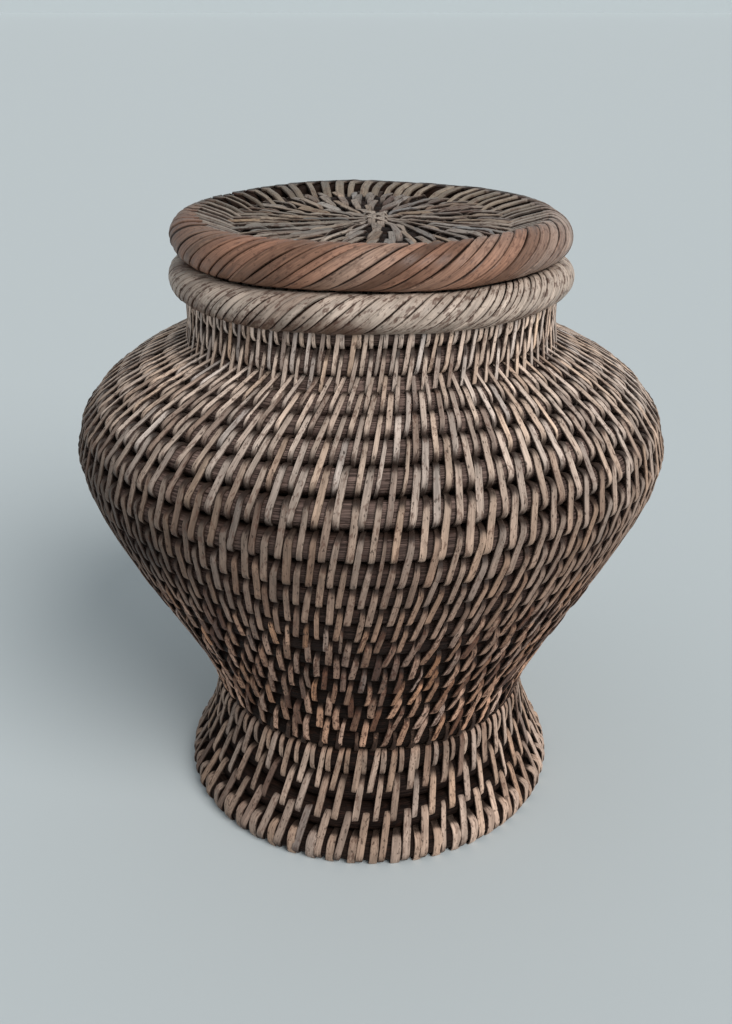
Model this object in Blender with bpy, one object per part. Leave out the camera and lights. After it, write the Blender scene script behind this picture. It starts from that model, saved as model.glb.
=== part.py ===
"""Lidded storage basket of coiled rattan cane: a flared foot, a bulging body, a short neck with a
wrapped rim hoop, and a lift-off lid with a wrapped hoop of its own.

Metres, +Z up. The origin is the centre of the foot's underside, and +Z is the axis of the basket.
Every turn of the coiled cane is a ring of its own. A ring's section includes the flat binding
strips that sew the turn to its neighbour, and a gap keeps neighbouring rings apart.
"""

import math

import bmesh
import bpy
from mathutils import Vector, geometry

# Cane and binding
CANE_PITCH = 0.0112           # from one turn to the next in the body, floor, neck and lid
FOOT_PITCH = 0.0141           # the foot is coiled from a thicker cane
GAP = 0.0003                  # left between pieces that touch
RING_SIDES = 8                # sides of a turn's section, flat towards the axis and the ground
RING_SEGMENTS = 24            # straight stretches round a turn

# Foot
FOOT_TURNS = 4
FOOT_BASE_RADIUS = 0.0842     # centre line of the turn that stands on the ground
FOOT_TOP_RADIUS = 0.0679
FOOT_TOP_HEIGHT = 0.0453
FOOT_FLARE = 1.6              # power of the flare, from the top of the foot downwards

# Body wall, as the centre line of its turns: (radius, height)
WAIST = (0.0696, 0.0573)
WAIST_HANDLE = (0.0735, 0.0830)
BELLY_RADIUS = 0.1238
BELLY_HEIGHT = 0.1800
BELLY_HANDLE = 0.0258         # length of the upright handles above and below the belly
SHOULDER_HANDLE = (0.0804, 0.2174)
NECK_BASE = (0.0739, 0.2222)
NECK_TOP = (0.0739, 0.2500)
BODY_TURNS = 19
NECK_TURNS = 2
SPAN_POINTS = 160

# Floor, sewn inside the lowest turn of the body
FLOOR_TURNS = 5

# Rim hoop: a cane laid on the top turn of the neck, wrapped together with it
RIM_RADIUS = 0.0792
RIM_HEIGHT = 0.2515
RIM_REACH = 0.00745           # outer radius of the wrapped hoop's section
RIM_STRIP = 0.0012            # thickness of the wrapping
RIM_CORE_REACH = 0.0049
RIM_CORE_SHIFT = 0.0006       # the hoop's cane lies this far from the middle, away from the neck
RIM_SLIT = math.radians(37)   # half the opening where the wrapping goes round the neck's top turn
RIM_SIDES = 10

# Lid
LID_TURNS = 5
LID_TURN_RADIUS = 0.0607      # centre line of the outermost turn
LID_HEIGHT = 0.2642
LID_DOME = 0.0035              # how much higher the middle is than the outermost turn
LID_HOOP_RADIUS = 0.0762
LID_HOOP_HEIGHT = 0.2682
LID_HOOP_REACH = 0.0091
LID_STRIP = 0.0013
LID_CORE_REACH = 0.0072
LID_SLIT = math.radians(15)   # half the opening where the wrapping is sewn to the outermost turn
LID_SIDES = 11
COLLAR_RADIUS = 0.0655        # ring under the lid that centres it in the mouth
COLLAR_HEIGHT = 0.2535
COLLAR_REACH = 0.0045


def clear_scene():
    for old in list(bpy.data.objects):
        bpy.data.objects.remove(old, do_unlink=True)


def cane_material(name, colour, roughness):
    made = bpy.data.materials.new(name)
    made.use_nodes = True
    shader = made.node_tree.nodes["Principled BSDF"]
    shader.inputs["Base Color"].default_value = (*colour, 1.0)
    shader.inputs["Roughness"].default_value = roughness
    shader.inputs["Metallic"].default_value = 0.0
    return made


def guide_frame(name, height):
    """An empty on the axis, which the pieces of one body hang from."""
    frame = bpy.data.objects.new(name, None)
    frame.location = (0.0, 0.0, height)
    bpy.context.scene.collection.objects.link(frame)
    return frame


def add_piece(name, shape, height, material, frame):
    """Makes the named object from a bmesh drawn round a point on the axis at this height."""
    bmesh.ops.recalc_face_normals(shape, faces=shape.faces)
    mesh = bpy.data.meshes.new(name)
    shape.to_mesh(mesh)
    shape.free()
    mesh.materials.append(material)
    mesh.shade_smooth()
    mesh.set_sharp_from_angle(angle=math.radians(50))
    piece = bpy.data.objects.new(name, mesh)
    piece.parent = frame
    piece.location = (0.0, 0.0, height - frame.location.z)
    bpy.context.scene.collection.objects.link(piece)


def turned(outline):
    """Spins a closed outline of (radius, height) points round the axis."""
    shape = bmesh.new()
    corners = [shape.verts.new((radius, 0.0, height)) for radius, height in outline]
    edges = [shape.edges.new((corners[i - 1], corners[i])) for i in range(len(corners))]
    bmesh.ops.spin(
        shape,
        geom=corners + edges,
        cent=(0.0, 0.0, 0.0),
        axis=(0.0, 0.0, 1.0),
        angle=math.tau,
        steps=RING_SEGMENTS,
        use_merge=True,
    )
    return shape


def arc_points(radius, height, reach, start, sweep, steps):
    """Points on an arc round (radius, height), from the start angle through the sweep."""
    angles = [start + sweep * step / steps for step in range(steps + 1)]
    return [(radius + reach * math.cos(a), height + reach * math.sin(a)) for a in angles]


def cane_outline(radius, reach):
    half_side = math.pi / RING_SIDES
    return arc_points(radius, 0.0, reach, half_side, math.tau, RING_SIDES)[:-1]


def wrap_outline(radius, reach, strip, slit_angle, slit_half, sides):
    """The wrapping round a hoop: a thick arc, open at its slit."""
    start = slit_angle + slit_half
    sweep = math.tau - 2 * slit_half
    outside = arc_points(radius, 0.0, reach, start, sweep, sides)
    inside = arc_points(radius, 0.0, reach - strip, start, sweep, sides)
    return outside + inside[::-1]


def add_ring(name, centre, reach, material, frame):
    """One turn of cane, round the axis."""
    radius, height = centre
    add_piece(name, turned(cane_outline(radius, reach)), height, material, frame)


def add_coil_start(name, radius, reach, height, material, frame):
    """The middle of a coiled disc, where the cane starts in a tight knot."""
    shape = bmesh.new()
    bmesh.ops.create_cone(
        shape,
        cap_ends=True,
        segments=RING_SEGMENTS,
        radius1=radius,
        radius2=radius,
        depth=2 * reach * math.cos(math.pi / RING_SIDES),
    )
    rims = [edge for edge in shape.edges if abs(edge.verts[0].co.z - edge.verts[1].co.z) < GAP]
    bmesh.ops.bevel(shape, geom=rims, offset=reach / 2, segments=2, affect="EDGES", profile=0.5)
    add_piece(name, shape, height, material, frame)


def span(start, start_handle, end_handle, end):
    """Points along one Bezier span of the wall, given as (radius, height) pairs."""
    ends = [Vector((radius, height, 0.0)) for radius, height in (start, start_handle, end_handle, end)]
    return [point.to_2d() for point in geometry.interpolate_bezier(*ends, SPAN_POINTS)]


def wall_line():
    """The centre line of the wall, from the lowest turn of the body to the top of the neck."""
    belly = (BELLY_RADIUS, BELLY_HEIGHT)
    belly_below = (BELLY_RADIUS, BELLY_HEIGHT - BELLY_HANDLE)
    belly_above = (BELLY_RADIUS, BELLY_HEIGHT + BELLY_HANDLE)
    flank = span(WAIST, WAIST_HANDLE, belly_below, belly)
    shoulder = span(belly, belly_above, SHOULDER_HANDLE, NECK_BASE)
    neck_points = [Vector(NECK_BASE).lerp(Vector(NECK_TOP), i / SPAN_POINTS) for i in range(SPAN_POINTS)]
    return flank + shoulder + neck_points


def foot_line(base_height):
    """The centre line of the flared foot, from the ground up past its top turn."""
    rise = FOOT_TOP_HEIGHT - base_height
    widening = FOOT_BASE_RADIUS - FOOT_TOP_RADIUS
    points = []
    for i in range(SPAN_POINTS):
        height = base_height + rise * 1.1 * i / SPAN_POINTS
        left = max(0.0, (FOOT_TOP_HEIGHT - height) / rise)
        points.append(Vector((FOOT_TOP_RADIUS + widening * left**FOOT_FLARE, height)))
    return points


def stacked_turns(line, spacing, count):
    """Centres along the line, each one a full cane's width from the one before."""
    centres = [line[0]]
    for before, after in zip(line, line[1:]):
        reached = (after - centres[-1]).length
        if reached >= spacing:
            short = (before - centres[-1]).length
            centres.append(before.lerp(after, (spacing - short) / (reached - short)))
        if len(centres) == count:
            break
    return centres


def build_foot(material, frame):
    reach = FOOT_PITCH / 2 - GAP / 2
    base_height = reach * math.cos(math.pi / RING_SIDES)
    centres = stacked_turns(foot_line(base_height), FOOT_PITCH, FOOT_TURNS)
    for number, centre in enumerate(centres, start=1):
        add_ring(f"foot_coil_{number}", centre, reach, material, frame)


def build_floor(material, frame):
    reach = CANE_PITCH / 2 - GAP / 2
    radius, height = WAIST
    for number in range(1, FLOOR_TURNS + 1):
        radius -= CANE_PITCH
        add_ring(f"floor_coil_{number}", (radius, height), reach, material, frame)
    add_coil_start("floor_centre", radius - CANE_PITCH / 2 - GAP, reach, height, material, frame)


def build_wall(material, neck_material, frame):
    reach = CANE_PITCH / 2 - GAP / 2
    centres = stacked_turns(wall_line(), CANE_PITCH, BODY_TURNS + NECK_TURNS)
    for number, centre in enumerate(centres[:BODY_TURNS], start=1):
        add_ring(f"body_coil_{number:02d}", centre, reach, material, frame)
    for number, centre in enumerate(centres[BODY_TURNS:], start=1):
        add_ring(f"neck_coil_{number}", centre, reach, neck_material, frame)
    return centres[-1]


def build_rim(top_turn, core_material, wrap_material, frame):
    """The hoop leans on the neck's top turn, so its wrapping opens towards that turn."""
    away = Vector((RIM_RADIUS, RIM_HEIGHT)) - top_turn
    core = Vector((RIM_RADIUS, RIM_HEIGHT)) + away.normalized() * RIM_CORE_SHIFT
    add_ring("rim_hoop_core", core, RIM_CORE_REACH, core_material, frame)
    slit_angle = math.atan2(-away.y, -away.x)
    outline = wrap_outline(RIM_RADIUS, RIM_REACH, RIM_STRIP, slit_angle, RIM_SLIT, RIM_SIDES)
    add_piece("rim_hoop_wrap", turned(outline), RIM_HEIGHT, wrap_material, frame)


def dome_height(radius):
    """The height of the lid's disc at a radius: it rises a little towards the middle."""
    return LID_HEIGHT + LID_DOME * (1 - (radius / LID_TURN_RADIUS) ** 2)


def build_lid(cane, core_material, wrap_material, frame):
    reach = CANE_PITCH / 2 - GAP / 2
    radius = LID_TURN_RADIUS
    for number in range(LID_TURNS, 0, -1):
        add_ring(f"lid_coil_{number}", (radius, dome_height(radius)), reach, cane, frame)
        radius -= CANE_PITCH
    add_coil_start("lid_centre", radius + CANE_PITCH / 2 - GAP, reach, dome_height(0), cane, frame)
    add_ring("lid_collar", (COLLAR_RADIUS, COLLAR_HEIGHT), COLLAR_REACH, cane, frame)
    hoop = (LID_HOOP_RADIUS, LID_HOOP_HEIGHT)
    add_ring("lid_hoop_core", hoop, LID_CORE_REACH, core_material, frame)
    outline = wrap_outline(LID_HOOP_RADIUS, LID_HOOP_REACH, LID_STRIP, math.pi, LID_SLIT, LID_SIDES)
    add_piece("lid_hoop_wrap", turned(outline), LID_HOOP_HEIGHT, wrap_material, frame)


def main():
    clear_scene()
    foot_cane = cane_material("foot_cane", (0.42, 0.33, 0.25), 0.75)
    body_cane = cane_material("body_cane", (0.33, 0.24, 0.17), 0.72)
    neck_cane = cane_material("neck_cane", (0.38, 0.30, 0.22), 0.72)
    lid_cane = cane_material("lid_cane", (0.34, 0.27, 0.22), 0.75)
    hoop_cane = cane_material("hoop_cane", (0.20, 0.14, 0.10), 0.80)
    rim_strip = cane_material("rim_strip", (0.50, 0.39, 0.28), 0.55)
    lid_strip = cane_material("lid_strip", (0.40, 0.22, 0.14), 0.45)
    basket = guide_frame("basket_frame", 0.0)
    build_foot(foot_cane, basket)
    build_floor(body_cane, basket)
    top_turn = build_wall(body_cane, neck_cane, basket)
    build_rim(top_turn, hoop_cane, rim_strip, basket)
    lid = guide_frame("lid_frame", COLLAR_HEIGHT)
    build_lid(lid_cane, hoop_cane, lid_strip, lid)


main()
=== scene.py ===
"""The looks of a lidded basket of coiled rattan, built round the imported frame.

Every turn of cane is a ring, and each row of binding is one flat strip that goes round a turn and the turn before it,
again and again, all the way round the basket. The two hoops are wrapped obliquely with many strips side by side.
"""

import math

import bpy
import numpy as np
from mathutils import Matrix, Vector


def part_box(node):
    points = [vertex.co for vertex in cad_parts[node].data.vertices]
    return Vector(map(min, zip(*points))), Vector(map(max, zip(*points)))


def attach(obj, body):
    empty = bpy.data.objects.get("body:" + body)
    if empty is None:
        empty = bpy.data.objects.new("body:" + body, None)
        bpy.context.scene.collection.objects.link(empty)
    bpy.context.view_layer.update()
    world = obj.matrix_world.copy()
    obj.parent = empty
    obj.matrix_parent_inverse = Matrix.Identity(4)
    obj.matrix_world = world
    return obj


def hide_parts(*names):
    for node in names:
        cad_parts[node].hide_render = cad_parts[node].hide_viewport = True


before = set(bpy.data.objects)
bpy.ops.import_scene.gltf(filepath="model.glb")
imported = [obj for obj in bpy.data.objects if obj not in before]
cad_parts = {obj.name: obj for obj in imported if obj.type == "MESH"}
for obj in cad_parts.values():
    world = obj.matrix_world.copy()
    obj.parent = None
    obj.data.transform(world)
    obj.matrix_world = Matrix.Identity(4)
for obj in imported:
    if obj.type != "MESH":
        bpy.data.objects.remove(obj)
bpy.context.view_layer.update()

SEED = 20261
STANDING = 0.00005           # strips under the foot are worn flat where it stands
GROUND_FREE = 0.025          # height over which the unevenness of the work grows from nothing
FOOT_TUCK = 0.0013           # the binding pulls the foot's edge in by this much
AXIS_CALM = 0.02             # radius inside which the unevenness fades to nothing

# The lid's disc, which has gone a little out of shape
DISC_HEIGHT = 0.2575         # everything on the disc is above this
DISC_RADIUS = 0.0745
DISC_SHIFT = 0.003           # its middle lies this far to the right
DISC_DISH = 0.0022           # its edge stands higher than its middle
DISC_DROP = 0.0008
DISC_TILT = 0.03             # slope up to the back

# Cane and binding strips, in metres
CORE_SWELL = 0.00036         # how much fatter the bare cane is than its CAD ring, so neighbours touch
CANE_SQUARENESS = 2.5        # 2 is a round cane; more is one pressed flat where it meets the next
STRIP_SQUARENESS = 3.1       # the stiff strips cut the corners less closely than the cane
STRIP_THICKNESS = 0.00075
STRIP_LIFT = 0.00006         # the strip's underside above the cane
LEAN = math.radians(8.5)     # the strips' tops lie to the right of their feet
CORE_STEPS = 160
CORE_SIDES = 24
CORE_BUMPS = ((0.00006, 9), (0.00005, 23))   # size, and waves in a turn
KNOT_RINGS = 9
KNOT_SIDES = 40
CAP_STEPS = 7                # points of a strip round the far end of a turn, on the side that shows
INNER_STEPS = 4

# Loops of binding in a row, from the foot up
FOOT_LOOPS = 57
FLANK_LOOPS = 80
BELLY_LOOPS = 94
DISC_LOOPS = (48, 38, 28, 18)                # from the edge of a coiled disc to its middle
DISC_WIDTH = 0.0031
COLLAR_LOOPS = 72
COLLAR_WIDTH = 0.0045
COLLAR_LASHINGS = 40
COLLAR_LASHING_WIDTH = 0.0030
SPOKE_HALF = 0.0015
PLAIT_HALF = 0.0017
PLAIT_STEPS = 15

# A strip's cross-section: across in half widths, up in thicknesses
SECTION = np.array([(-1.0, 0.0), (-0.98, 0.66), (-0.84, 0.96), (0.0, 1.05), (0.84, 0.96), (0.98, 0.66), (1.0, 0.0)])
# How dark each point of the section is: dirt with painted shade towards the edges, in the grooves between strips
SECTION_DIRT_AND_SHADE = np.array([0.95, 0.75, 0.10, 0.0, 0.10, 0.75, 0.95])
SHARP_ANGLE = math.radians(30)

RIM_STRIPS = 108
RIM_SLOPE = math.radians(38)
RIM_RANGE = (math.radians(-98), math.radians(210))
LID_STRIPS = 66
LID_SLOPE = math.radians(31)
LID_START = math.radians(-165)
LID_INNER_SLOPE = math.radians(77)
LASH_HALF = 0.0012           # half width of the lid's strips where they run inward
HOOP_CANE_SHARE = 0.97       # the cane inside a hoop, as a share of the room inside the wrapping
WRAP_THICKNESS = 0.0010
WRAP_STEPS = 44
BRIDGE_STEPS = 6             # of those, the ones from the hoop to the next turn
OVER_STEPS = 8               # and the ones over that turn


def shade(red, green, blue):
    """A colour given in display values from 0 to 255, as linear light."""
    value = np.array((red, green, blue), float) / 255
    return np.where(value <= 0.04045, value / 12.92, ((value + 0.055) / 1.055) ** 2.4)


# Heights of the parts of the body that painted shade makes darker (belly) or painted light makes lighter (flank,
# shoulder)
FLANK_HEIGHT = 0.118
BELLY_HEIGHT = 0.172
SHOULDER_HEIGHT = 0.185

# Colours by height, from the foot over the waist, flank, belly and shoulder to the neck
STRIP_HEIGHTS = (0.000, 0.048, 0.056, 0.110, 0.165, 0.205, 0.245)
STRIP_SHADES = np.array([shade(156, 134, 119), shade(164, 140, 123), shade(202, 161, 136), shade(160, 126, 106),
                         shade(160, 133, 115), shade(190, 169, 153), shade(212, 189, 172)])
CORE_SHADES = np.array([shade(32, 23, 19), shade(28, 20, 17), shade(24, 17, 14), shade(26, 19, 16),
                        shade(62, 48, 43), shade(104, 87, 80), shade(100, 83, 76)])
STAIN = shade(80, 50, 38)
# Near black, for dark pits and for dirt with painted shade in the creases
DIRT_AND_SHADE_COLOUR = (0.018, 0.010, 0.007, 1)
HOOP_CORE = shade(40, 29, 23)
LID_STRIP = shade(146, 133, 122)
LID_CORE = shade(38, 31, 28)
RIM_PALE = shade(180, 163, 149)
# Brown of real stains, also painted as shade on the rim's left
RIM_STAIN_AND_SHADE = shade(94, 66, 50)
LID_RED = shade(126, 88, 71)
LID_TAN = shade(160, 128, 103)
# Lid hoop colours: in painted light to the right, in painted shade to the left, and in painted shade along the back
LID_LIT = shade(150, 131, 119)
LID_SHADED = shade(126, 107, 92)
LID_BACK_SHADE = shade(62, 54, 49)
LID_HOOK = shade(136, 122, 107)


def settle(points):
    """The slight unevenness of hand work, which everything that touches shares. The lid's disc has gone a little
    dished and tilted, and its middle is to one side."""
    angle = np.arctan2(points[:, 1], points[:, 0])
    height = points[:, 2]
    reach = np.hypot(points[:, 0], points[:, 1])
    off_axis = np.clip(reach / AXIS_CALM, 0, 1)
    share = np.clip(height / GROUND_FREE, 0, 1) * off_axis
    swell = (0.0007 * np.sin(2 * angle + 1.3 + 9 * height) + 0.0004 * np.sin(3 * angle - 22 * height + 0.4)
             + 0.0002 * np.sin(7 * angle + 60 * height))
    lift = 0.0005 * np.sin(2 * angle + 0.7 + 14 * height) + 0.0003 * np.sin(5 * angle + 40 * height)
    swell = share * swell - FOOT_TUCK * np.clip(1.5 - height / 0.020, 0, 1) * off_axis
    moved = points.copy()
    moved[:, 0] += swell * np.cos(angle)
    moved[:, 1] += swell * np.sin(angle)
    moved[:, 2] = np.maximum(moved[:, 2] + share * lift, STANDING)
    disc = np.clip((height - DISC_HEIGHT) / 0.004, 0, 1) * np.clip((DISC_RADIUS - reach) / 0.011, 0, 1)
    outer = np.clip((reach - 0.030) / 0.028, 0, 1)
    moved[:, 0] += disc * DISC_SHIFT * np.clip(1 - reach / 0.060, 0, 1)
    moved[:, 2] += disc * (DISC_DISH * outer * outer * (3 - 2 * outer) - DISC_DROP + DISC_TILT * points[:, 1])
    return moved


def patches(angle, height, scale=1.0, seed=0.0):
    """A smooth uneven value from about -1 to 1 over the surface, for stains and wear."""
    a, z = np.asarray(angle, float), np.asarray(height, float) * scale
    return (np.sin(3 * a + 41 * z + seed) + np.sin(-5 * a + 63 * z + 2.1 * seed + 1.0)
            + np.sin(8 * a + 95 * z + 0.7 * seed + 2.0) + np.sin(13 * a - 140 * z + 1.7 * seed)) / 2.6


def by_height(height, shades):
    """The colour at a height, read off one of the tables above."""
    return np.stack([np.interp(height, STRIP_HEIGHTS, shades[:, k]) for k in range(3)], -1)


def squared(angle, power=CANE_SQUARENESS):
    """How far a pressed cane reaches at an angle from its open side, as a share of its half height."""
    return (np.abs(np.cos(angle)) ** power + np.abs(np.sin(angle)) ** power) ** (-1 / power)


# ---------------------------------------------------------------- meshes

def finish_piece(name, points, faces, tint, grain, dirt_and_shade, body, slot, material, nodes=(), crisp=True):
    """Makes a mesh object with its three point attributes, parents it to its body and hides the CAD nodes it stands
    for.
    """
    mesh = bpy.data.meshes.new(name)
    mesh.from_pydata(settle(points).tolist(), [], faces)
    mesh.polygons.foreach_set("use_smooth", np.ones(len(mesh.polygons), bool))
    if crisp:
        mesh.set_sharp_from_angle(angle=SHARP_ANGLE)
    colours = np.ones((len(points), 4))
    colours[:, :3] = tint
    mesh.attributes.new("tint", "FLOAT_COLOR", "POINT").data.foreach_set("color", colours.ravel())
    mesh.attributes.new("grain", "FLOAT_VECTOR", "POINT").data.foreach_set("vector", np.ravel(grain))
    mesh.attributes.new("dirt_and_shade", "FLOAT", "POINT").data.foreach_set("value", np.ravel(dirt_and_shade))
    mesh.materials.append(material)
    mesh.update()
    piece = bpy.data.objects.new(name, mesh)
    bpy.context.scene.collection.objects.link(piece)
    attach(piece, body)
    if nodes:
        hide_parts(*nodes)
    return piece


def turn_of(node):
    """The centre of a CAD ring's section as (radius, height), and half its height."""
    low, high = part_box(node)
    half = (high.z - low.z) / 2
    return np.array((high.x - half, (high.z + low.z) / 2)), half


def around(radius, height, angle):
    """Points at a radius, height and angle about the basket's axis."""
    return np.stack([radius * np.cos(angle), radius * np.sin(angle), height + 0 * angle], -1)


def cane_ring(name, centre, reach, face_angle, shades, body, slot, material, nodes=(), seed=0, power=CANE_SQUARENESS):
    """A round cane bent into a ring. face_angle is the way its open side faces, where it gets the least painted shade.
    """
    rng = np.random.default_rng(SEED + seed)
    theta = np.arange(CORE_STEPS) * math.tau / CORE_STEPS
    phi = face_angle - math.pi + np.arange(CORE_SIDES) * math.tau / CORE_SIDES
    t, p = np.meshgrid(theta, phi, indexing="ij")
    bump = sum(size * np.sin(waves * t + rng.uniform(0, 6)) for size, waves in CORE_BUMPS)
    rho = (reach + bump) * squared(p - face_angle, power)
    radius = centre[0] + rho * np.cos(p)
    points = around(radius, centre[1] + rho * np.sin(p), t).reshape(-1, 3)
    # Painted shade: the cane darkens away from its open side, in the creases where it meets the next turns
    away = np.abs((p - face_angle + math.pi) % math.tau - math.pi)
    dirt_and_shade = np.clip((away - 0.55) / 0.8, 0, 1)
    tint = shades * (1 + 0.22 * patches(t, centre[1], seed=seed)[..., None])
    grain = np.stack([reach * p + seed * 0.1, centre[0] * np.cos(t), centre[0] * np.sin(t)], -1)
    i, k = np.meshgrid(np.arange(CORE_STEPS), np.arange(CORE_SIDES), indexing="ij")
    j, m = (i + 1) % CORE_STEPS, (k + 1) % CORE_SIDES
    faces = np.stack([i * CORE_SIDES + k, j * CORE_SIDES + k, j * CORE_SIDES + m, i * CORE_SIDES + m], -1)
    return finish_piece(name, points, faces.reshape(-1, 4).tolist(), tint.reshape(-1, 3), grain.reshape(-1, 3),
                        dirt_and_shade.ravel(), body, slot, material, nodes, crisp=False)


def ribbons(path, normal, half_width, thickness, tint, dirt_and_shade, ident, roll=None, closed=False, edge=1.0):
    """Flat strips along paths (strips, points, 3). Returns points, faces, tint, grain and grime for finish_piece.
    edge is how dark the strips' edges are: dirt with painted shade in the grooves between strips."""
    count, steps, _ = path.shape
    if closed:
        tangent = np.roll(path, -1, 1) - np.roll(path, 1, 1)
    else:
        tangent = np.gradient(path, axis=1)
    step = np.linalg.norm(np.diff(path, axis=1, prepend=path[:, :1]), axis=-1)
    along = np.cumsum(step, 1)
    tangent /= np.linalg.norm(tangent, axis=-1, keepdims=True)
    side = np.cross(tangent, normal)
    side /= np.linalg.norm(side, axis=-1, keepdims=True)
    up = np.cross(side, tangent)
    if roll is not None:
        side, up = (side * np.cos(roll)[..., None] + up * np.sin(roll)[..., None],
                    up * np.cos(roll)[..., None] - side * np.sin(roll)[..., None])
    across = half_width[..., None] * SECTION[:, 0]
    rise = thickness * SECTION[:, 1]
    points = path[:, :, None] + side[:, :, None] * across[..., None] + up[:, :, None] * rise[None, None, :, None]
    sides = len(SECTION)
    i, k = np.meshgrid(np.arange(steps if closed else steps - 1), np.arange(sides), indexing="ij")
    j, m = (i + 1) % steps, (k + 1) % sides
    quads = np.stack([i * sides + k, i * sides + m, j * sides + m, j * sides + k], -1).reshape(-1, 4)
    faces = (quads[None] + (np.arange(count) * steps * sides)[:, None, None]).reshape(-1, 4).tolist()
    if not closed:
        for strip in range(count):
            first = strip * steps * sides
            last = first + (steps - 1) * sides
            faces.append([first + s for s in reversed(range(sides))])
            faces.append([last + s for s in range(sides)])
    grain = np.stack([across, np.broadcast_to(along[..., None], across.shape),
                      np.broadcast_to(ident[..., None], across.shape)], -1)
    spread = points.shape[:3]
    tint = np.broadcast_to(tint[:, :, None, :], spread + (3,))
    # Dirt and painted shade along the strip's edges, in the grooves between strips
    dirt_and_shade = np.clip(dirt_and_shade[..., None] + SECTION_DIRT_AND_SHADE * edge, 0, 1)
    return points.reshape(-1, 3), faces, tint.reshape(-1, 3), grain.reshape(-1, 3), dirt_and_shade.reshape(-1)


def row_path(own, below, reach, below_reach):
    """The loop round two turns in the plane through the axis: places, the way each faces, and how far it has
    come down the open side (0 to 1) or back up the other side (1 to 2)."""
    axis = own - below
    gap = np.linalg.norm(axis)
    down = axis / gap if gap > 1e-9 else np.array((0.0, 1.0))
    out = np.array((down[1], -down[0]))
    quarter = np.linspace(90, 0, CAP_STEPS)
    angles = [(own, reach, a) for a in quarter]
    angles += [(below, below_reach, a) for a in np.linspace(0, -90, CAP_STEPS)]
    angles += [(below, below_reach, a) for a in np.linspace(-90, -180, INNER_STEPS)[1:]]
    angles += [(own, reach, a) for a in np.linspace(180, 90, INNER_STEPS)[:-1]]
    places, faces = [], []
    for centre, size, angle in angles:
        a = math.radians(angle)
        face = math.cos(a) * out + math.sin(a) * down
        places.append(centre + size * squared(a, STRIP_SQUARENESS) * face)
        faces.append(face)
    places, faces = np.array(places), np.array(faces)
    seen = 2 * CAP_STEPS
    steps = np.linalg.norm(np.diff(places, axis=0, append=places[:1]), axis=1)
    travel = np.concatenate([[0], np.cumsum(steps)])
    progress = np.where(np.arange(len(places)) < seen, travel[:-1] / travel[seen - 1],
                        1 + (travel[:-1] - travel[seen - 1]) / (travel[-1] - travel[seen - 1]))
    return places, faces, progress, travel[seen - 1]


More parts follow.
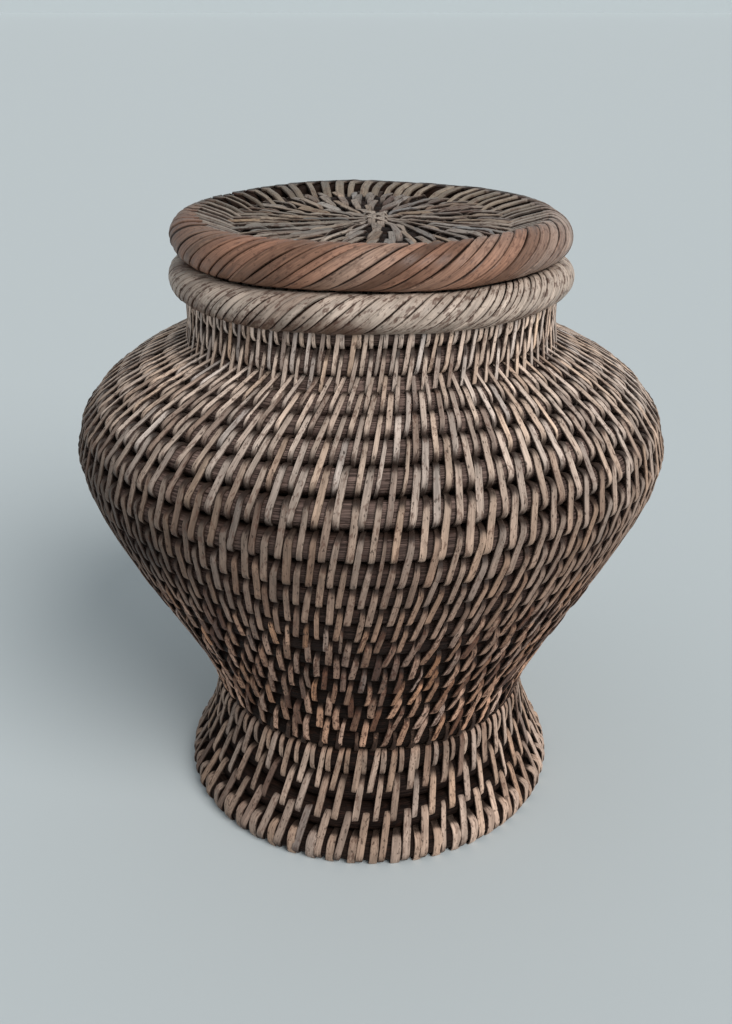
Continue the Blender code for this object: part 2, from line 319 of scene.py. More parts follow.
def binding_row(name, own, below, reach, count, width, phase, tints, body, slot, material, seed,
                lean=LEAN, rough=1.0, bite=1.0, slip=0.0, below_reach=None, dirt_and_end_shade=0.0, head=0.17, dim=0.25):
    """One long strip that goes round two turns count times on its way round the basket.

    bite: how much of the way to the lower turn it reaches before it passes through to the inside.
    slip: how far below its own turn it starts, as a share of the same way.
    dirt_and_end_shade, head, dim: how stained and dirty it is and how dark its ends are, from dirt with painted shade;
    how much of its upper end is darkened with painted shade where it goes into the crease; and how much painted
    shade darkens it below that, more to the left.
    rough: how uneven the work is.
    """
    rng = np.random.default_rng(SEED + 100 + seed)
    apart = below - own
    own, below = own + slip * apart, own + bite * apart
    places, faces, progress, length = row_path(own, below, reach, below_reach or reach)
    outside = progress <= 1
    down = np.clip(progress, 0, 1)
    back = np.clip(progress - 1, 0, 1)
    pitch = math.tau / count
    radius = max((own[0] + below[0]) / 2, 0.004)
    drop = length * math.tan(lean) / radius
    start = phase - pitch * np.arange(count)
    jitter = pitch * rough
    upper = start + drop / 2 + rng.normal(0, 0.055, count) * jitter
    lower = start - drop / 2 + rng.normal(0, 0.075, count) * jitter
    after = np.roll(upper, -1)
    after[-1] -= math.tau
    bend = rng.normal(0, 0.06, count) * jitter
    theta = (upper[:, None] * (1 - down) + lower[:, None] * down + bend[:, None] * np.sin(math.pi * down))
    theta = np.where(outside, theta, lower[:, None] * (1 - back) + after[:, None] * back)
    wide = np.clip(rng.normal(1.0, 0.075, count), 0.75, 1.2)
    thin = rng.random(count) < 0.03 * rough
    wide[thin] *= rng.uniform(0.5, 0.75, count)[thin]
    bulge = np.abs(rng.normal(0.0, 0.00016, count)) * rough
    roll = rng.normal(0, 0.09, count) * rough
    tone = np.clip(rng.normal(0, 1, count), -1.7, 1.7)
    blend = back[None]

    def carry(values):
        """One value a loop, which changes to the next loop's on the way back up."""
        return values[:, None] * (1 - blend) + np.roll(values, -1)[:, None] * blend

    arch = np.sin(math.pi * down) * outside
    rise = bulge[:, None] * arch
    radial = places[:, 0] + rise * faces[:, 0]
    height = places[:, 1] + rise * faces[:, 1]
    path = np.stack([radial * np.cos(theta), radial * np.sin(theta), height + 0 * theta], -1)
    normal = np.stack([faces[:, 0] * np.cos(theta), faces[:, 0] * np.sin(theta), faces[:, 1] + 0 * theta], -1)
    ends = 1 - 0.14 * np.abs(2 * down - 1) ** 3 - 0.12 * np.clip(1 - down / 0.4, 0, 1)
    # In the middle of a disc the strips narrow towards the axis
    spread = np.clip(radial / radius, 0.4, 1.2) if radius < 0.03 else 1.0
    half = width / 2 * carry(wide) * ends * spread
    # Painted shade darkens the upper end where it goes into the crease; the lower end is darker with dirt and painted
    # shade, and the part inside the basket is darker too
    foot_end = np.clip((down - 0.80 + 0.14 * dirt_and_end_shade) / 0.18, 0, 1) ** 1.3
    near_end = np.maximum(foot_end, np.clip((head + 0.11 * dirt_and_end_shade - down) / 0.10, 0, 1))
    dirt_and_shade = np.where(outside, near_end, 0.75) + 0.12 * np.clip(patches(theta, height, 2.2, seed), 0, 1)
    shades = tints(theta, height)
    # Painted shade below the crease, stronger to the left, away from the light
    dimmed = dim * (1 + 0.8 * np.clip(-np.cos(theta), 0, 1)) * np.clip(1 - down / 0.45, 0, 1)
    shades = shades * (1 + 0.08 * (rough + dirt_and_end_shade) * carry(tone) - dimmed)[..., None]
    stained = np.clip(carry(rng.random(count) ** 6) * (0.6 * rough - 0.15 + 0.3 * dirt_and_end_shade), 0, 0.85)[..., None]
    shades = shades * (1 - stained) + STAIN * stained
    shades = shades * (1 + rough * carry(rng.normal(0, 1, count))[..., None] * (0.03, -0.01, -0.055))
    ident = carry(rng.uniform(0, 40, count))
    # The loops follow on from each other, so the whole row is one closed ribbon
    loops = (path, normal, half, np.clip(shades, 0.01, 0.9), dirt_and_shade, ident, carry(roll) * arch)
    path, normal, half, shades, dirt_and_shade, ident, rolls = [each.reshape(1, -1, *each.shape[2:]) for each in loops]
    made = ribbons(path, normal, half, STRIP_THICKNESS, shades, dirt_and_shade, ident, rolls, closed=True)
    return finish_piece(name, *made, body, slot, material)


def hoop_path(centre, under, start, stop):
    """The way a wrapping strip goes round a hoop in the plane through the axis, the way it faces, and how far it has
    turned inward, which is nowhere."""
    phi = np.linspace(start, stop, WRAP_STEPS)
    return centre + under * np.stack([np.cos(phi), np.sin(phi)], -1), phi, np.zeros(WRAP_STEPS)


def lashing_path(centre, under, start, anchor, anchor_reach):
    """The same for a strip that goes round a hoop, straight on to another turn of cane and over that."""
    apart = centre - anchor
    tangent = math.atan2(apart[1], apart[0]) + math.acos((anchor_reach - under) / np.linalg.norm(apart))
    phi = np.linspace(start, tangent, WRAP_STEPS - BRIDGE_STEPS - OVER_STEPS)
    over = np.linspace(tangent, math.radians(178), OVER_STEPS)
    round_hoop = centre + under * np.stack([np.cos(phi), np.sin(phi)], -1)
    round_anchor = anchor + anchor_reach * np.stack([np.cos(over), np.sin(over)], -1)
    share = np.linspace(0, 1, BRIDGE_STEPS + 2)[1:-1, None]
    bridge = round_hoop[-1] * (1 - share) + round_anchor[0] * share
    face = np.concatenate([phi, np.full(BRIDGE_STEPS, tangent), over])
    inward = np.concatenate([np.clip((phi - tangent + 0.35) / 0.35, 0, 1), np.ones(BRIDGE_STEPS + OVER_STEPS)])
    return np.concatenate([round_hoop, bridge, round_anchor]), face, inward


def wrapping(name, places, face, inward, strips, slope, inner_slope, outer_radius, shades, body, slot, material,
             nodes, seed):
    """Strips wound side by side round a hoop on the slant. Where inward is 1 they run steeper and narrower, though
    less narrow along the back."""
    rng = np.random.default_rng(SEED + 500 + seed)
    share = np.clip(rng.normal(1, 0.2, strips), 0.55, 1.6)
    bounds = np.cumsum(np.concatenate([[0], share])) / share.sum() * math.tau
    even = (np.arange(strips) + 0.5) / strips * math.tau
    middle = ((bounds[1:] + bounds[:-1]) / 2)[:, None] * (1 - 0.6 * inward) + even[:, None] * 0.6 * inward
    step = np.linalg.norm(np.diff(places, axis=0, prepend=places[:1]), axis=1)
    angle = slope * (1 - inward) + inner_slope * inward
    rate = 1 / np.tan(angle) / outer_radius
    turned = np.cumsum(rate * step)
    wander = rng.normal(0, 0.003, strips)[:, None] * np.sin(face + rng.uniform(0, 6, strips)[:, None])
    wander = wander + rng.normal(0, 0.012, strips)[:, None] * inward
    theta = middle + turned + wander
    lift = rng.normal(0, 0.00008, strips)[:, None]
    radius = places[:, 0] + lift * np.cos(face)
    height = places[:, 1] + lift * np.sin(face)
    path = np.stack([radius * np.cos(theta), radius * np.sin(theta), height], -1)
    normal = np.stack([np.cos(face) * np.cos(theta), np.cos(face) * np.sin(theta), np.sin(face) + 0 * theta], -1)
    local = np.arctan2(1.0, rate * radius)
    half = 0.5 * radius * (bounds[1:] - bounds[:-1])[:, None] * np.sin(local) - 0.00003
    narrow = np.clip(rng.normal(LASH_HALF, 0.00018, strips), 0.0009, 0.0016)[:, None]
    narrow = narrow * (0.85 + 0.55 * np.clip(2 * np.sin(theta) - 1, 0, 1))
    half = half * (1 - inward) + np.minimum(half, narrow) * inward
    tone = rng.normal(0, 1, strips)[:, None]
    tint = shades(theta, face + 0 * theta, tone, inward)
    roll = rng.normal(0, 0.05, strips)[:, None] + 0 * theta
    # Painted shade where the strips go down over the far side of the disc's outer turn, into the crease
    dirt_and_shade = np.broadcast_to(np.clip((face - math.radians(125)) / 0.7, 0, 0.8) * (inward > 0), theta.shape)
    ident = np.broadcast_to(rng.uniform(0, 40, strips)[:, None], theta.shape)
    edge = np.where(rng.random(strips) < 0.4, 1.0, 0.5)[:, None, None]
    made = ribbons(path, normal, half, WRAP_THICKNESS, tint, dirt_and_shade, ident, roll, edge=edge)
    return finish_piece(name, *made, body, slot, material, nodes)


def laid_strips(name, lines, half_width, shades, body, slot, material, seed):
    """Single strips laid along lines of points. Each line is a list of (place, the way the strip faces)."""
    rng = np.random.default_rng(SEED + 700 + seed)
    path = np.array([[place for place, _ in line] for line in lines], float)
    normal = np.array([[face for _, face in line] for line in lines], float)
    count, steps = path.shape[:2]
    tint = np.broadcast_to(shades * (1 + 0.1 * rng.normal(0, 1, (count, 1, 1))), path.shape)
    ends = np.clip(np.abs(np.linspace(-1, 1, steps)) * 4 - 3.2, 0, 0.8)
    ident = np.broadcast_to(rng.uniform(0, 40, (count, 1)), (count, steps))
    made = ribbons(path, normal, np.full((count, steps), half_width), STRIP_THICKNESS, tint,
                   np.broadcast_to(ends, (count, steps)), ident)
    return finish_piece(name, *made, body, slot, material)


def coil_knot(name, place, radius, half, shades, body, slot, material, node, seed):
    """The rounded lump of cane in the middle of a coiled disc."""
    sides = KNOT_SIDES
    rng = np.random.default_rng(SEED + 800 + seed)
    rise = np.linspace(-math.pi / 2, math.pi / 2, KNOT_RINGS)[1:-1]
    turn = np.arange(sides) * math.tau / sides
    r, t = np.meshgrid(rise, turn, indexing="ij")
    squash = squared(r)
    reach = radius * np.cos(r) * squash
    points = np.stack([reach * np.cos(t), reach * np.sin(t), place + half * np.sin(r) * squash], -1).reshape(-1, 3)
    points = np.concatenate([points, [(0, 0, place - half), (0, 0, place + half)]])
    levels = len(rise)
    faces = [(i * sides + k, i * sides + (k + 1) % sides, (i + 1) * sides + (k + 1) % sides, (i + 1) * sides + k)
             for i in range(levels - 1) for k in range(sides)]
    faces += [(levels * sides, (k + 1) % sides, k) for k in range(sides)]
    top = (levels - 1) * sides
    faces += [(levels * sides + 1, top + k, top + (k + 1) % sides) for k in range(sides)]
    count = len(points)
    tint = np.broadcast_to(shades, (count, 3))
    dirt_and_shade = np.full(count, 0.3) + 0.2 * rng.random(count)
    return finish_piece(name, points, faces, tint, points, dirt_and_shade, body, slot, material, (node,), crisp=False)


# ---------------------------------------------------------------- materials

def add(tree, kind, values=None, **settings):
    """A new node. Each value is a number, a colour or another node's socket."""
    made = tree.nodes.new(kind)
    for key, value in settings.items():
        setattr(made, key, value)
    for key, value in (values or {}).items():
        if isinstance(value, bpy.types.NodeSocket):
            tree.links.new(value, made.inputs[key])
        else:
            made.inputs[key].default_value = value
    return made


def stretched_noise(tree, vector, scale, detail=3.0, roughness=0.6):
    """Noise drawn out by a scale for each of the three grain coordinates."""
    mapped = add(tree, "ShaderNodeMapping", {"Vector": vector, "Scale": scale})
    return add(tree, "ShaderNodeTexNoise", {"Vector": mapped.outputs[0], "Scale": 1.0, "Detail": detail,
                                            "Roughness": roughness}).outputs[0]


def between(tree, value, low, high, start=0.0, end=1.0):
    """A value spread from low..high to start..end, with soft ends."""
    return add(tree, "ShaderNodeMapRange", {"Value": value, "From Min": low, "From Max": high, "To Min": start,
                                            "To Max": end}, interpolation_type="SMOOTHSTEP").outputs[0]


def maths(tree, operation, one, two):
    """One arithmetic operation on two values."""
    return add(tree, "ShaderNodeMath", {0: one, 1: two}, operation=operation).outputs[0]


def blended(tree, amount, one, two, blend="MIX"):
    """Two colours mixed, the second by this amount."""
    made = add(tree, "ShaderNodeMix", {0: amount, 6: one, 7: two}, data_type="RGBA", blend_type=blend)
    return made.outputs[2]


def cane_material(name, fibre=0.22, fibre_scale=(2100, 60, 13), cloud_scale=(420, 110, 13), stains=0.5,
                  stain_share=0.55, pits=0.7, pit_scale=(1100, 420, 13), pit_share=0.62, dirt_and_shade_strength=0.9,
                  rough=(0.5, 0.75), bump=0.35, shine=0.2):
    """Split or whole cane: the mesh's tint, lengthwise fibres, brown stains, dark pits, and dirt with painted shade in
    the creases.

    The grain coordinates are metres across the strip, metres along it, and a number of its own for each strip.
    """
    material = bpy.data.materials.new(name)
    material.use_nodes = True
    tree = material.node_tree
    tree.nodes.clear()
    tint = add(tree, "ShaderNodeAttribute", attribute_name="tint").outputs["Color"]
    grain = add(tree, "ShaderNodeAttribute", attribute_name="grain").outputs["Vector"]
    dirt_and_shade = add(tree, "ShaderNodeAttribute", attribute_name="dirt_and_shade").outputs["Fac"]
    fine = stretched_noise(tree, grain, fibre_scale, 2.0)
    cloudy = stretched_noise(tree, grain, cloud_scale, 3.0)
    blotch = stretched_noise(tree, grain, (700, 260, 17), 3.0, 0.65)
    speck = stretched_noise(tree, grain, pit_scale, 2.0, 0.5)
    lines = between(tree, fine, 0.3, 0.7, 1 - fibre, 1 + fibre)
    clouds = between(tree, cloudy, 0.25, 0.75, 0.78, 1.18)
    light = maths(tree, "MULTIPLY", lines, clouds)
    grey = add(tree, "ShaderNodeCombineColor", {0: light, 1: light, 2: light}).outputs[0]
    base = blended(tree, 1.0, tint, grey, "MULTIPLY")
    spread = maths(tree, "ADD", blotch, maths(tree, "MULTIPLY", dirt_and_shade, 0.12))
    stained = blended(tree, between(tree, spread, stain_share, stain_share + 0.12, 0.0, stains), base, (*STAIN, 1))
    pit = between(tree, speck, pit_share, pit_share + 0.07, 0.0, pits)
    spotted = blended(tree, pit, stained, DIRT_AND_SHADE_COLOUR)
    # Dirt with painted shade in the creases and at the strips' ends, from the mesh's darkening attribute
    uneven = maths(tree, "MULTIPLY", dirt_and_shade, between(tree, cloudy, 0.2, 0.8, 1.3, 0.7))
    soiled_and_shaded = blended(tree, between(tree, uneven, 0.0, 1.0, 0.0, dirt_and_shade_strength), spotted, DIRT_AND_SHADE_COLOUR)
    relief = maths(tree, "SUBTRACT", lines, maths(tree, "MULTIPLY", pit, 1.2))
    height = add(tree, "ShaderNodeBump", {"Strength": bump, "Distance": 0.0003, "Height": relief}).outputs[0]
    roughness = between(tree, cloudy, 0.2, 0.8, *rough)
    shader = add(tree, "ShaderNodeBsdfPrincipled", {"Base Color": soiled_and_shaded, "Roughness": roughness, "Normal": height,
                                                    "Specular IOR Level": shine})
    add(tree, "ShaderNodeOutputMaterial", {"Surface": shader.outputs[0]})
    return material


core_cane = cane_material("bare_cane", fibre=0.7, fibre_scale=(2300, 50, 50), cloud_scale=(300, 60, 60), stains=0.2,
                          pits=0.5, pit_scale=(900, 300, 300), dirt_and_shade_strength=0.95, bump=0.6, shine=0.06)
strip_cane = cane_material("binding_strip", stains=0.6, stain_share=0.54)
low_cane = cane_material("low_strip", fibre=0.3, stains=0.8, stain_share=0.51, pits=0.85, pit_share=0.60)
foot_cane = cane_material("foot_strip", stains=0.5, stain_share=0.54, pits=0.65, pit_share=0.60, rough=(0.6, 0.85))
rim_cane = cane_material("rim_strip", fibre=0.2, fibre_scale=(1700, 40, 13), stains=0.75, stain_share=0.51,
                         pits=0.5, pit_share=0.63, rough=(0.42, 0.65), bump=0.3, shine=0.3)
lid_cane = cane_material("lid_strip", fibre=0.24, fibre_scale=(1700, 40, 13), cloud_scale=(420, 60, 13), stains=0.5,
                         stain_share=0.53, pits=0.5, pit_share=0.63, rough=(0.36, 0.6), bump=0.35, shine=0.3)


# ---------------------------------------------------------------- the basket

def body_tints(theta, height):
    """Tan strips, browner low down and paler on the shoulder, with uneven stains. Painted shade darkens the belly to
    the left; painted light brightens the foot to the right, the front right and the sides of the shoulder, and painted
    reflected light the lower flank to the left."""
    # Painted shade on the belly to the left, away from the light
    belly = np.clip(1.6 - np.abs(height - BELLY_HEIGHT) / 0.028, 0, 1)
    belly = belly * np.clip(-1.3 * np.cos(theta - 0.5) - 0.3, 0, 1)
    # Painted light on the foot to the right
    foot_side = np.clip(1.5 - height / 0.035, 0, 1) * np.clip(1.4 * np.cos(theta + 0.2) - 0.2, 0, 1)
    left = np.clip(-1.3 * np.cos(theta), 0, 1)
    # Painted reflected light on the lower flank to the left
    flank = np.clip(1.2 - np.abs(height - FLANK_HEIGHT) / 0.03, 0, 1) * left
    # Painted light on the sides of the shoulder, more to the left
    shoulder = np.clip((height - SHOULDER_HEIGHT) / 0.02, 0, 1) * (np.cos(theta) ** 2 + left)
    # The cos term is painted light towards the front right
    uneven = 0.97 + 0.07 * np.cos(theta + 0.5) - 0.6 * belly + 0.75 * foot_side + 0.17 * shoulder + 0.2 * flank
    uneven = uneven + 0.16 * patches(theta, height, seed=0.4)
    return by_height(height, STRIP_SHADES) * uneven[..., None]


def lid_tints(theta, height):
    """Grey, and a little paler and browner to the left."""
    left = np.clip(-np.cos(theta), 0, 1)[..., None]
    shades = LID_STRIP * (1 - 0.5 * left) + LID_HOOK * 1.3 * 0.5 * left
    return shades * (1 + 0.14 * patches(theta, height, seed=2.4))[..., None]


def core_shades(height):
    """The bare cane's colour at a height."""
    return by_height(np.array(height), CORE_SHADES)


def strip_width(radius, count, share):
    """A strip covers this share of the room between it and the next row's strips."""
    return share * math.pi * radius / count


foot = [turn_of(f"foot_coil_{i}") for i in range(1, 5)]
floor = [turn_of(f"floor_coil_{i}") for i in range(1, 6)]
wall = [turn_of(f"body_coil_{i:02d}") for i in range(1, 20)]
neck = [turn_of(f"neck_coil_{i}") for i in range(1, 3)]
lid = [turn_of(f"lid_coil_{i}") for i in range(1, 6)]
collar, collar_half = turn_of("lid_collar")
rim_centre, rim_reach = turn_of("rim_hoop_wrap")
hoop_centre, hoop_reach = turn_of("lid_hoop_wrap")
cane_half = wall[5][1]
foot_half = foot[0][1]
core_reach = cane_half + CORE_SWELL
strip_reach = core_reach + STRIP_LIFT


def facings(turns, first, last):
    """The way each turn's open side faces: square to the line between its two neighbours."""
    chain = [first] + [centre for centre, _ in turns] + [last]
    out = []
    for before, after in zip(chain[:-2], chain[2:]):
        along = after - before
        out.append(math.atan2(-along[0], along[1]))
    return out


def ring_set(prefix, node_prefix, digits, turns, facing, shades, body, slot, seed):
    """The rings of bare cane for a run of turns, each in the place of its CAD node."""
    for i, ((centre, half), face_angle) in enumerate(zip(turns, facing)):
        number = f"{i + 1:0{digits}d}"
        colour = shades(centre[1]) if callable(shades) else shades
        cane_ring(f"{prefix}_{number}", centre, half + CORE_SWELL, face_angle, colour, body, slot, core_cane,
                  (f"{node_prefix}_{number}",), seed=seed + i)


ring_set("foot_turn", "foot_coil", 1, foot, facings(foot, foot[0][0] * 2 - foot[1][0], wall[0][0]), core_shades,
         "basket", "foot_cane", 0)
ring_set("body_turn", "body_coil", 2, wall, facings(wall, foot[3][0], neck[0][0]), core_shades, "basket",
         "body_cane", 5)
ring_set("neck_turn", "neck_coil", 1, neck, (0.0, 0.0), core_shades, "basket", "neck_cane", 30)
ring_set("floor_turn", "floor_coil", 1, floor, (math.pi / 2,) * 5, core_shades, "basket", "body_cane", 35)
ring_set("lid_turn", "lid_coil", 1, lid, (math.pi / 2,) * 5, LID_CORE, "lid", "lid_cane", 60)
cane_ring("lid_collar_cane", collar, collar_half + CORE_SWELL, 0.0, LID_CORE, "lid", "lid_cane", core_cane,
          ("lid_collar",), seed=66)

# Rows of binding, from the foot up, where strips of neighbouring rows alternate.
# A row is its name, kind, own turn, the turn below, loops, width share and the look of its strips. On the wall the
# dirt and painted end shade, the width and the painted shade under the crease change from turn to turn.
rows = [("foot_binding_2", "foot", foot[1][0], foot[0][0], FOOT_LOOPS, 0.84,
         dict(dirt_and_end_shade=0.4, head=0.20, dim=0.10, slip=0.20)),
        ("foot_binding_3", "foot", foot[2][0], foot[1][0], FOOT_LOOPS, 0.76,
         dict(bite=0.76, dirt_and_end_shade=0.7, head=0.20, dim=0.15, slip=0.08)),
        ("foot_binding_4", "foot", foot[3][0], foot[2][0], FOOT_LOOPS, 0.76,
         dict(bite=0.72, dirt_and_end_shade=0.7, head=0.17, dim=0.10)),
        ("body_binding_01", "low", wall[0][0], floor[0][0], FOOT_LOOPS, 0.78, dict(dirt_and_end_shade=0.6))]
for i in range(1, 19):
    name, count = f"body_binding_{i + 1:02d}", FOOT_LOOPS if i < 4 else FLANK_LOOPS if i < 8 else BELLY_LOOPS
    dirt_and_end_shade = float(np.interp(i, (7, 8, 13, 15, 18), (0.6, 0.8, 0.1, 0.4, 0.6)))
    share = float(np.interp(i, (7, 9, 14, 17), (0.73, 0.65, 0.72, 0.69)))
    if i < 9:
        kind, options = "low", dict(dirt_and_end_shade=dirt_and_end_shade, rough=1.6, bite=0.74, slip=0.07, dim=0.2)
    else:
        dim = float(np.interp(i, (11, 14), (0.2, 0.45)))
        kind, options = "body", dict(dirt_and_end_shade=dirt_and_end_shade, rough=0.9, head=0.17 if i < 13 else 0.24, dim=dim)
    rows.append((name, kind, wall[i][0], wall[i - 1][0], count, share, options))
rows += [("neck_binding_1", "neck", neck[0][0], wall[18][0], BELLY_LOOPS, 0.69,
          dict(bite=0.9, dirt_and_end_shade=0.2, head=0.30, dim=0.3)),
         ("neck_binding_2", "neck", neck[1][0], neck[0][0], BELLY_LOOPS, 0.71, dict(bite=0.95, dirt_and_end_shade=0.2))]
# Rows of short strips round one turn, between the strips of another row: name, turn, width share, lean, and dirt with
# painted end shade
short_rows = {"foot_binding_2": ("foot_binding_1", foot[0][0], 1.02, 4, 0.0),
              "foot_binding_4": ("foot_top_binding", foot[3][0], 0.6, 4, 0.8),
              "neck_binding_2": ("neck_top_binding", neck[1][0], 0.7, 3, 0.0)}
# Slot, material and half the turn's height, by kind of row
kinds = {"foot": ("foot_cane", foot_cane, foot_half), "low": ("body_cane", low_cane, cane_half),
         "body": ("body_cane", strip_cane, cane_half), "neck": ("neck_cane", strip_cane, cane_half)}
phase = 0.3
for index, (name, kind, own, below, count, share, options) in enumerate(rows):
    slot, material, half = kinds[kind]
    reach = half + CORE_SWELL + STRIP_LIFT
    radius = (own[0] + below[0]) / 2
    phase += math.pi / count + np.linalg.norm(own - below) * math.tan(LEAN) / radius
    binding_row(name, own, below, reach, count, strip_width(radius, count, share), phase, body_tints, "basket", slot,
                material, seed=index, **options)
    if name in short_rows:
        short_name, turn, share, lean, dirt_and_end_shade = short_rows[name]
        binding_row(short_name, turn, turn, reach, count, strip_width(radius, count, share), phase + math.pi / count,
                    body_tints, "basket", slot, material, seed=70 + index, lean=math.radians(lean), rough=0.7,
                    dirt_and_end_shade=dirt_and_end_shade, dim=0.0)

# The floor and the lid's disc: rows that lie flat, the open side up
for index, count in enumerate(DISC_LOOPS):
    outer, inner = lid[4 - index][0], lid[3 - index][0]
    binding_row(f"lid_binding_{5 - index}", inner, outer, strip_reach, count, DISC_WIDTH, 0.9 * index, lid_tints, "lid",
                "lid_cane", strip_cane, seed=80 + index, rough=1.4, dirt_and_end_shade=0.3)
    outer, inner = floor[index][0], floor[index + 1][0]
    binding_row(f"floor_binding_{index + 1}", inner, outer, strip_reach, count, DISC_WIDTH, 0.7 * index, body_tints,
                "basket", "body_cane", strip_cane, seed=90 + index, rough=1.0)
collar_reach = collar_half + CORE_SWELL + STRIP_LIFT
binding_row("lid_collar_binding", collar, collar, collar_reach, COLLAR_LOOPS, COLLAR_WIDTH, 0.0, lid_tints, "lid",
            "lid_cane", strip_cane, seed=100, lean=math.radians(12), rough=0.7)
binding_row("lid_collar_lashing", lid[4][0], collar, strip_reach, COLLAR_LASHINGS, COLLAR_LASHING_WIDTH, 0.2,
            lid_tints, "lid", "lid_cane", strip_cane, seed=101, rough=0.7, below_reach=collar_reach + 0.0004)


def disc_middle(prefix, first, knot_node, count, shades, body, slot, seed):
    """The start of a coiled disc: a knot of cane, strips that run out over the first turn, and a small plait.
    The strips and the plait are made for both faces of the disc."""
    low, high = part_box(knot_node)
    place, half, reach = (low.z + high.z) / 2, (high.z - low.z) / 2, high.x
    coil_knot(f"{prefix}_knot", place, reach + CORE_SWELL, half + CORE_SWELL, shades * 0.5, body, slot, core_cane,
              knot_node, seed)
    rng = np.random.default_rng(SEED + 900 + seed)
    spokes = []
    for side in (1, -1):
        for k in range(count):
            theta = (k + rng.normal(0, 0.12)) * math.tau / count + (0.1 if side > 0 else 0.3)
            swirl = 0.10 + rng.normal(0, 0.05)
            line = []
            for angle in np.radians((12, 35, 62, 90, 112)):
                out = first + strip_reach * squared(angle) * np.array((math.cos(angle), math.sin(angle)))
                line.append((out[0], first[1] + side * (out[1] - first[1]), math.cos(angle), side * math.sin(angle)))
            top = place + side * (half + STRIP_LIFT)
            line += [(0.0085, top, 0, side), (0.0055, top + side * 0.0003, 0, side),
                     (0.0030, top - side * 0.0001, 0, side), (0.0018, top - side * 0.0022, 0, side)]
            places = []
            for radius, height, face_out, face_up in line:
                t = theta - side * swirl * (first[0] - radius) / first[0]
                places.append(((radius * math.cos(t), radius * math.sin(t), height),
                               (face_out * math.cos(t), face_out * math.sin(t), face_up)))
            spokes.append(places)
    laid_strips(f"{prefix}_spokes", spokes, SPOKE_HALF, shades, body, slot, strip_cane, seed)
    plait = []
    for side in (1, -1):
        base = place + side * (half + STRIP_LIFT + STRIP_THICKNESS)
        runs = [((x, 0.0), (0, 1), 0.0105, sign) for x, sign in ((-0.0019, 1), (0.0019, -1))]
        runs += [((0.0, y), (1, 0), 0.0052, sign)
                 for y, sign in ((-0.0064, 1), (-0.0021, -1), (0.0021, 1), (0.0064, -1))]
        for (x, y), (dx, dy), length, sign in runs:
            line = []
            for t in np.linspace(-1, 1, PLAIT_STEPS):
                wave = 0.00045 * sign * math.cos(math.pi * t * length / 0.0043)
                drop = 0.0032 * max(0.0, abs(t) - 0.8) / 0.2
                tip = 0.8 * np.sign(t) * (abs(t) > 0.85)
                line.append(((x + dx * length * t, y + dy * length * t, base + side * (wave + 0.0003 - drop)),
                             (dx * tip, dy * tip, side)))
            plait.append(line)
    laid_strips(f"{prefix}_plait", plait, PLAIT_HALF, shades * 1.25, body, slot, strip_cane, seed + 1)


disc_middle("lid_middle", lid[0][0], "lid_centre", 11, LID_STRIP, "lid", "lid_cane", 1)
disc_middle("floor_middle", floor[4][0], "floor_centre", 13, STRIP_SHADES[2], "basket", "body_cane", 11)


def rim_tints(theta, phi, tone, inward):
    """Pale and polished, with brown stains that gather on the underside, the same brown as painted shade to the left,
    and painted light to the right.
    """
    low_side = np.clip((-np.sin(phi) + 0.15) / 1.0, 0, 1) * (np.cos(phi) > 0)
    stain_and_shade = 0.75 * low_side + 0.55 * patches(theta, phi * 0.012, 1.0, 1.9) - 0.28 + 0.12 * tone
    # Painted shade in the stain's brown, to the left away from the light
    stain_and_shade = np.clip(stain_and_shade - 0.36 * np.cos(theta), 0, 0.85)
    # Painted light to the right
    pale_and_lit = RIM_PALE * (1 + 0.09 * tone + 0.14 * np.clip(np.cos(theta), 0, 1))[..., None]
    return np.clip(pale_and_lit * (1 - stain_and_shade[..., None]) + RIM_STAIN_AND_SHADE * stain_and_shade[..., None], 0.01, 0.9)


def lid_hoop_tints(theta, phi, tone, inward):
    """Reddish brown where hands have polished the front, with painted shade to the left and along the back, and painted
    light to the right and the front right.
    """
    # Painted light to the right, painted shade to the left
    right = np.clip(0.5 + 0.7 * np.cos(theta), 0, 1)[..., None]
    colour = LID_SHADED * (1 - right) + LID_LIT * right
    front = 0.15 - 0.9 * np.sin(theta) - 0.3 * np.cos(theta) + 0.3 * patches(theta, phi * 0.01, 1.0, 4.0) - 0.12 * tone
    front = np.clip(front, 0, 1)[..., None]
    rubbed = LID_RED * (1 + 0.25 * np.sin(2.5 * theta + 3 * tone))[..., None]
    colour = colour * (1 - front) + (0.8 * rubbed + 0.2 * LID_TAN) * front
    # Painted shade along the back of the crest, which faces away from the light
    back = np.clip((np.sin(theta) - 0.05) / 0.45, 0, 1)
    dark = (back * np.clip((phi - math.radians(50)) / 0.4, 0, 1) * np.clip(1.5 - 2 * inward, 0, 1))[..., None]
    colour = colour * (1 - dark) + LID_BACK_SHADE * dark
    hook = np.clip(2 * inward - 1, 0, 1)[..., None]
    hook_shade = LID_STRIP * (1 - back[..., None]) + LID_HOOK * back[..., None]
    colour = colour * (1 - hook) + hook_shade * hook
    # More painted shade to the left and painted light to the front right
    shaded = 1 - 0.24 * np.clip(-np.cos(theta + 0.7), 0, 1) + 0.14 * np.clip(np.cos(theta + 0.9), 0, 1)
    return np.clip(colour * (shaded * (1 + 0.14 * tone))[..., None], 0.01, 0.9)


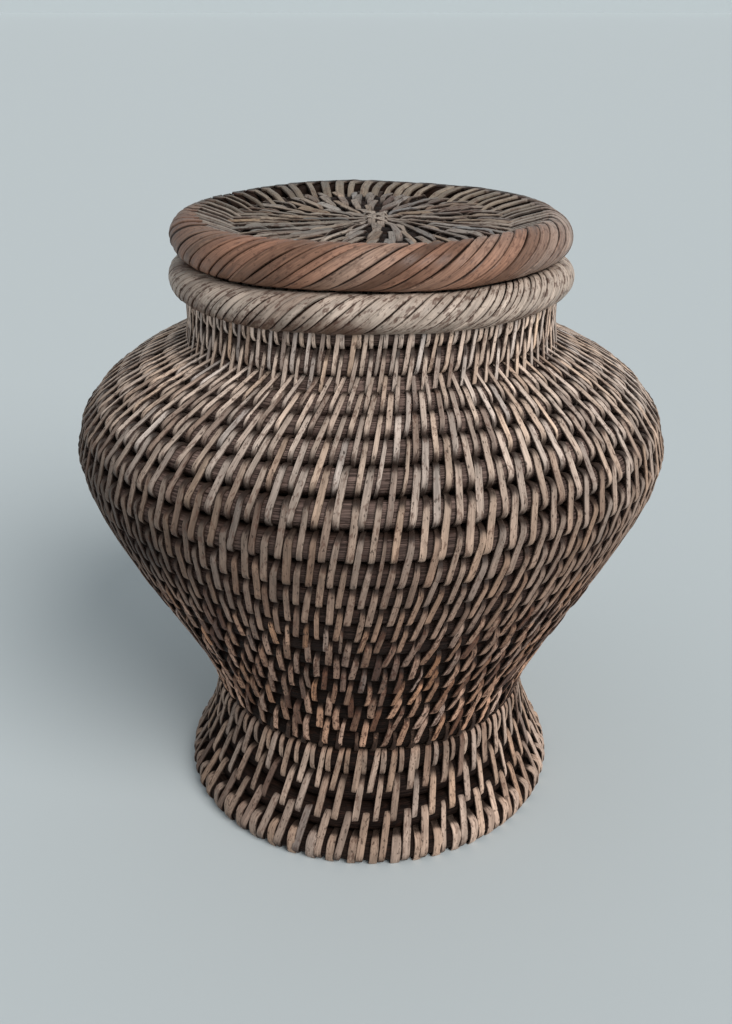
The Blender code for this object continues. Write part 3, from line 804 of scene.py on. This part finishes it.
under = WRAP_THICKNESS * SECTION[:, 1].max()
for hoop, body, centre, reach, seed in (("rim", "basket", rim_centre, rim_reach, 75),
                                        ("lid", "lid", hoop_centre, hoop_reach, 76)):
    cane_ring(f"{hoop}_hoop_cane", centre, (reach - under) * HOOP_CANE_SHARE, 0.0, HOOP_CORE, body, "hoop_cane",
              core_cane, (f"{hoop}_hoop_core",), seed=seed, power=2.0)
wrapping("rim_wrapping", *hoop_path(rim_centre, rim_reach - under, *RIM_RANGE), RIM_STRIPS, RIM_SLOPE, RIM_SLOPE,
         rim_centre[0] + rim_reach, rim_tints, "basket", "rim_strip", rim_cane, ("rim_hoop_wrap",), 1)
wrapping("lid_wrapping", *lashing_path(hoop_centre, hoop_reach - under, LID_START, lid[4][0], strip_reach), LID_STRIPS,
         LID_SLOPE, LID_INNER_SLOPE, hoop_centre[0] + hoop_reach, lid_hoop_tints, "lid", "lid_strip", lid_cane,
         ("lid_hoop_wrap",), 2)

# ---------------------------------------------------------------- setting

CAMERA_PLACE = (-0.0017, -0.4716, 0.3547)
CAMERA_PITCH = math.radians(65.08)
CAMERA_LENS = 38.36
GROUND = 60.0
GROUND_SHADE = shade(196, 203, 205)
WALL_SHARE = 0.95            # the far wall faces the light more squarely
SKY_SHADE = (0.80, 0.86, 0.90, 1)
SKY_STRENGTH = 0.42

camera = bpy.data.objects.new("camera", bpy.data.cameras.new("camera"))
bpy.context.scene.collection.objects.link(camera)
camera.location = CAMERA_PLACE
camera.rotation_euler = (CAMERA_PITCH, 0, 0)
camera.data.lens = CAMERA_LENS
camera.data.clip_start = 0.01
bpy.context.scene.camera = camera


def plain_sheet(name, corners, colour):
    """A plain flat sheet for the floor or the wall behind it."""
    mesh = bpy.data.meshes.new(name)
    mesh.from_pydata(corners, [], [(0, 1, 2, 3)])
    sheet = bpy.data.objects.new(name, mesh)
    bpy.context.scene.collection.objects.link(sheet)
    plain = bpy.data.materials.new(name)
    plain.use_nodes = True
    shader = plain.node_tree.nodes["Principled BSDF"]
    shader.inputs["Base Color"].default_value = (*colour, 1)
    shader.inputs["Roughness"].default_value = 1.0
    shader.inputs["Specular IOR Level"].default_value = 0.0
    mesh.materials.append(plain)


plain_sheet("ground", [(-GROUND, -GROUND, 0), (GROUND, -GROUND, 0), (GROUND, GROUND, 0), (-GROUND, GROUND, 0)],
            GROUND_SHADE)
plain_sheet("far_wall", [(-GROUND, GROUND, 0), (GROUND, GROUND, 0), (GROUND, GROUND, GROUND),
                         (-GROUND, GROUND, GROUND)], GROUND_SHADE * WALL_SHARE)


def soft_sun(name, direction, spread, strength, colour):
    """A broad soft light that falls evenly on everything, from a direction."""
    light = bpy.data.lights.new(name, "SUN")
    light.angle = math.radians(spread)
    light.energy = strength
    light.color = colour
    made = bpy.data.objects.new(name, light)
    made.rotation_euler = Vector(direction).to_track_quat("Z", "Y").to_euler()
    bpy.context.scene.collection.objects.link(made)


soft_sun("key", (0.58, -0.80, 0.80), 34, 2.5, (1.0, 0.985, 0.965))
soft_sun("fill", (-0.6, -0.8, 0.9), 80, 0.30, (0.94, 0.97, 1.0))
world = bpy.data.worlds.new("studio")
world.use_nodes = True
world.node_tree.nodes["Background"].inputs["Color"].default_value = SKY_SHADE
world.node_tree.nodes["Background"].inputs["Strength"].default_value = SKY_STRENGTH
bpy.context.scene.world = world
bpy.context.scene.view_settings.view_transform = "Standard"
